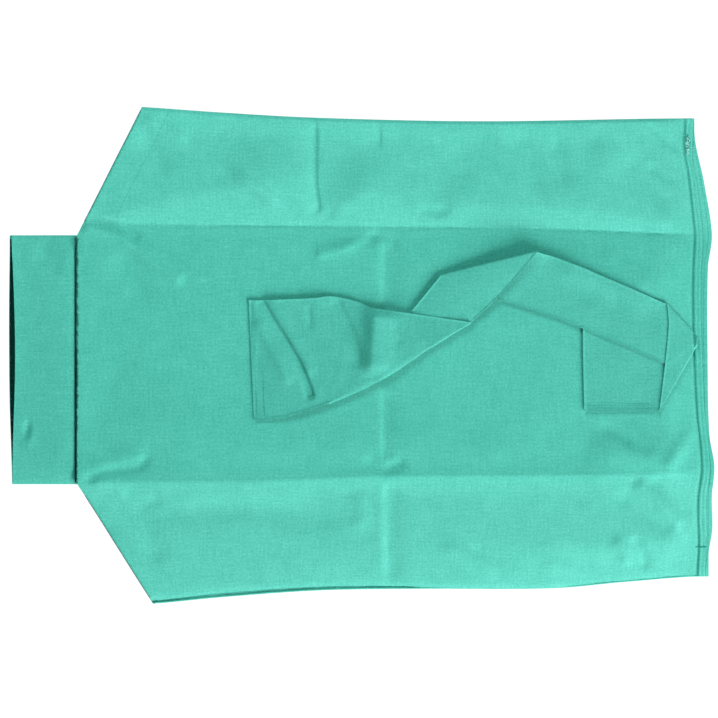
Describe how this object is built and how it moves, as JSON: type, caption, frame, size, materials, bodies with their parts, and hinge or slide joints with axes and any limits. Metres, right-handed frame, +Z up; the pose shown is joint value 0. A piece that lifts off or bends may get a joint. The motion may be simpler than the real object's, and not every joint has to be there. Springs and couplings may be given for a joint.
{
  "type": "patient gown",
  "caption": "Sleeveless pull-over patient gown laid flat, with a deep neckband, hemmed armholes and bottom, and a loose folded waist belt on top.",
  "frame": {"origin": "centre of the bounding box in plan, on the surface the gown lies on", "axes": "+X from the neck to the hem, +Y to the wearer's left, +Z up out of the front of the gown"},
  "size_m": [0.987, 0.6952, 0.0261],
  "materials": {
    "gown_cloth": "matt plain-weave cotton and polyester",
    "turned_cloth": "matt, doubled and topstitched",
    "neckband_cloth": "matt, doubled",
    "belt_cloth": "matt, pressed folds",
    "seam_thread": "matt overlock thread",
    "bartack_thread": "dense satin stitches"
  },
  "bodies": {
    "middle": {"front_panel_center": "gown_cloth", "back_panel_center": "gown_cloth", "front_hem_center": "turned_cloth", "back_hem_center": "turned_cloth", "neck_seam_front": "seam_thread", "neck_seam_back": "seam_thread"},
    "wing_left": {"front_panel_left": "gown_cloth", "back_panel_left": "gown_cloth", "front_hem_left": "turned_cloth", "back_hem_left": "turned_cloth", "armhole_hem_front_left": "turned_cloth", "armhole_hem_back_left": "turned_cloth", "side_seam_left": "turned_cloth", "bartack_left": "bartack_thread"},
    "wing_right": {"front_panel_right": "gown_cloth", "back_panel_right": "gown_cloth", "front_hem_right": "turned_cloth", "back_hem_right": "turned_cloth", "armhole_hem_front_right": "turned_cloth", "armhole_hem_back_right": "turned_cloth", "side_seam_right": "turned_cloth", "bartack_right": "bartack_thread"},
    "neckband": {"neckband_front": "neckband_cloth", "neckband_back": "neckband_cloth", "neckband_end_left": "neckband_cloth", "neckband_end_right": "neckband_cloth"},
    "belt": {"waist_belt": "belt_cloth", "belt_hem_left": "belt_cloth", "belt_hem_right": "belt_cloth"}
  },
  "joints": [
    {"name": "left_fold", "type": "hinge", "parent": "middle", "child": "wing_left", "pos_m": [0, 0.172, 0.0106], "axis": [1, 0, 0], "range_deg": [0, 90]},
    {"name": "right_fold", "type": "hinge", "parent": "middle", "child": "wing_right", "pos_m": [0, -0.182, 0.0106], "axis": [-1, 0, 0], "range_deg": [0, 90]},
    {"name": "neckband_fold", "type": "hinge", "parent": "middle", "child": "neckband", "pos_m": [-0.401, 0, 0.01], "axis": [0, 1, 0], "range_deg": [0, 150]},
    {"name": "belt_lift", "type": "slide", "parent": "middle", "child": "belt", "axis": [0, 0, 1], "range_m": [0, 0.25]}
  ]
}
